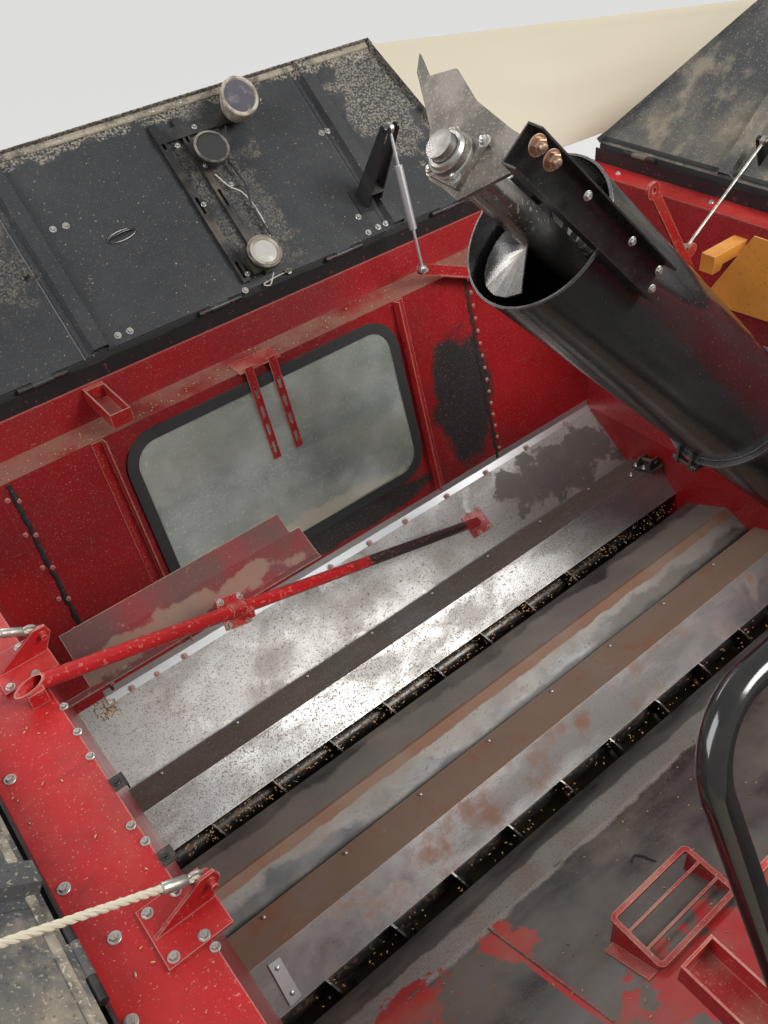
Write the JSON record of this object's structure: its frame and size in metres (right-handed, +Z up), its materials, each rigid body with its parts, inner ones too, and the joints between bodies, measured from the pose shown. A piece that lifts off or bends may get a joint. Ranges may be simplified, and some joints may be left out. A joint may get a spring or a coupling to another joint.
{
  "type": "combine harvester grain tank",
  "caption": "Grain tank with folding covers, cross augers, loading auger, steps and a window, on a stand with bolt-down feet.",
  "frame": {"origin": "on the ground, midway between the tips of the side covers and of the end covers", "axes": "+X to the machine's right, +Y to its front, +Z up"},
  "size_m": [4.7956, 3.291, 2.8325],
  "materials": {
    "red_paint": "worn and dusty",
    "grey_paint": "satin, dusty",
    "bare_steel": "scuffed by grain",
    "galvanised": "dull zinc",
    "black_steel": "satin",
    "dark_steel": "dark and glossy",
    "glass": "dirty",
    "rubber": "dusty",
    "fabric": "dusty woven",
    "rope": "braided",
    "guard_orange": "dusty",
    "lamp_shell": "dusty"
  },
  "bodies": {
    "tank": {"front_wall_centre": "red_paint", "front_wall_corners": "red_paint", "left_wall": "red_paint", "right_wall": "red_paint", "rear_wall": "red_paint", "floor_sheets": "bare_steel", "auger_troughs": "bare_steel", "rim_rails": "red_paint", "hinge_strips": "black_steel", "window_glass": "glass", "window_seal": "rubber", "front_wall_fittings": "red_paint", "folded_guard": "red_paint", "brace_tube": "red_paint", "floor_joint_strip": "galvanised", "front_auger_roof": "galvanised", "rear_auger_roof": "galvanised", "rope_brackets": "red_paint", "slope_step": "red_paint", "wall_step": "red_paint", "grab_brackets": "red_paint", "wall_ribs": "red_paint", "cradle_plates": "red_paint", "underframe": "red_paint", "feet": "red_paint", "beam_caps": "black_steel", "outlet_sump": "red_paint", "auger_bearings": "black_steel", "auger_boot": "dark_steel", "drive_guard": "guard_orange", "torque_tube": "red_paint", "corner_fabric": "fabric", "left_ropes": "rope"},
    "front_cover": {"front_cover": "grey_paint", "lamp_rails": "black_steel", "work_lamps": "lamp_shell", "front_cover_bracket": "black_steel"},
    "rear_cover": {"rear_cover": "grey_paint"},
    "left_cover": {"left_cover": "grey_paint"},
    "right_cover": {"right_cover": "grey_paint", "right_cover_bracket": "black_steel"},
    "loading_tube": {"loading_tube": "dark_steel", "tube_arm": "black_steel", "bearing_plate": "galvanised"},
    "loading_screw": {"loading_screw": "dark_steel", "loading_flight": "bare_steel"},
    "boot_screw": {"boot_screw": "dark_steel", "boot_flight": "bare_steel"},
    "front_cross_auger": {"front_auger_pipe": "bare_steel", "front_auger_flight": "bare_steel"},
    "rear_cross_auger": {"rear_auger_pipe": "bare_steel", "rear_auger_flight": "bare_steel"},
    "front_lever": {"front_lever": "red_paint"},
    "turnbuckle": {"turnbuckle": "galvanised"},
    "right_lever": {"right_lever": "red_paint"},
    "right_stay": {"right_stay_rod": "galvanised"},
    "grab_rail": {"grab_rail": "black_steel"}
  },
  "joints": [
    {"name": "cover_fold", "type": "hinge", "parent": "tank", "child": "front_cover", "pos_m": [0, 1.154, 1.928], "axis": [1, 0, 0], "range_deg": [0, 138], "deforming": ["corner_fabric", "left_ropes"]},
    {"name": "rear_cover_fold", "type": "hinge", "parent": "tank", "child": "rear_cover", "pos_m": [0, -1.154, 1.928], "axis": [-1, 0, 0], "range_deg": [0, 138]},
    {"name": "right_cover_fold", "type": "hinge", "parent": "tank", "child": "right_cover", "pos_m": [1.378, 0, 1.928], "axis": [0, -1, 0], "range_deg": [0, 128]},
    {"name": "left_cover_fold", "type": "hinge", "parent": "tank", "child": "left_cover", "pos_m": [-1.378, 0, 1.928], "axis": [0, 1, 0], "range_deg": [0, 128]},
    {"name": "loading_tube_fold", "type": "hinge", "parent": "tank", "child": "loading_tube", "pos_m": [0.67174, 0.12038, 1.39373], "axis": [-0.1271, -0.9919, 0], "range_deg": [0, 42]},
    {"name": "grab_rail_fold", "type": "hinge", "parent": "tank", "child": "grab_rail", "pos_m": [0, -1.126, 1.88], "axis": [-1, 0, 0], "range_deg": [0, 85]},
    {"name": "front_lever_turn", "type": "hinge", "parent": "tank", "child": "front_lever", "pos_m": [1.151, 0.92633, 1.534], "axis": [0, -0.9744, 0.225], "range_deg": [0, 45.47]},
    {"name": "turnbuckle_turn", "type": "hinge", "parent": "front_cover", "child": "turnbuckle", "pos_m": [0.39, 1.11291, 2.26792], "axis": [1, 0, 0], "range_deg": [-136.36, 0]},
    {"name": "right_lever_turn", "type": "hinge", "parent": "tank", "child": "right_lever", "pos_m": [1.151, 0.47, 1.659], "axis": [0, -1, 0], "range_deg": [0, 118.46]},
    {"name": "right_stay_turn", "type": "hinge", "parent": "right_lever", "child": "right_stay", "pos_m": [1.06807, 0.494, 1.83604], "axis": [0, -1, 0], "range_deg": [-93.39, 0]},
    {"name": "cross_auger_spin", "type": "hinge", "parent": "tank", "child": "front_cross_auger", "pos_m": [0, 0.455, 0.72], "axis": [1, 0, 0], "continuous": true},
    {"name": "rear_cross_auger_spin", "type": "hinge", "parent": "tank", "child": "rear_cross_auger", "pos_m": [0, -0.108, 0.72], "axis": [1, 0, 0], "continuous": true},
    {"name": "loading_screw_spin", "type": "hinge", "parent": "tank", "child": "boot_screw", "pos_m": [1.02971, 0.07452, 1.3252], "axis": [-0.689, 0.0883, 0.7193], "continuous": true},
    {"name": "upper_screw_spin", "type": "hinge", "parent": "loading_tube", "child": "loading_screw", "pos_m": [0.61629, 0.12748, 1.7568], "axis": [-0.689, 0.0883, 0.7193], "continuous": true}
  ],
  "couplings": [
    {"joint": "rear_cover_fold", "follows": "cover_fold", "ratio": 1},
    {"joint": "right_cover_fold", "follows": "cover_fold", "ratio": 0.92753},
    {"joint": "left_cover_fold", "follows": "cover_fold", "ratio": 0.92753},
    {"joint": "loading_tube_fold", "follows": "cover_fold", "ratio": 0.30435},
    {"joint": "grab_rail_fold", "follows": "cover_fold", "ratio": 0.61594},
    {"joint": "front_lever_turn", "follows": "cover_fold", "ratio": 0.32949},
    {"joint": "turnbuckle_turn", "follows": "cover_fold", "ratio": -0.98811},
    {"joint": "right_lever_turn", "follows": "cover_fold", "ratio": 0.8584},
    {"joint": "right_stay_turn", "follows": "cover_fold", "ratio": -0.67674},
    {"joint": "rear_cross_auger_spin", "follows": "cross_auger_spin", "ratio": 1},
    {"joint": "upper_screw_spin", "follows": "loading_screw_spin", "ratio": 1}
  ]
}
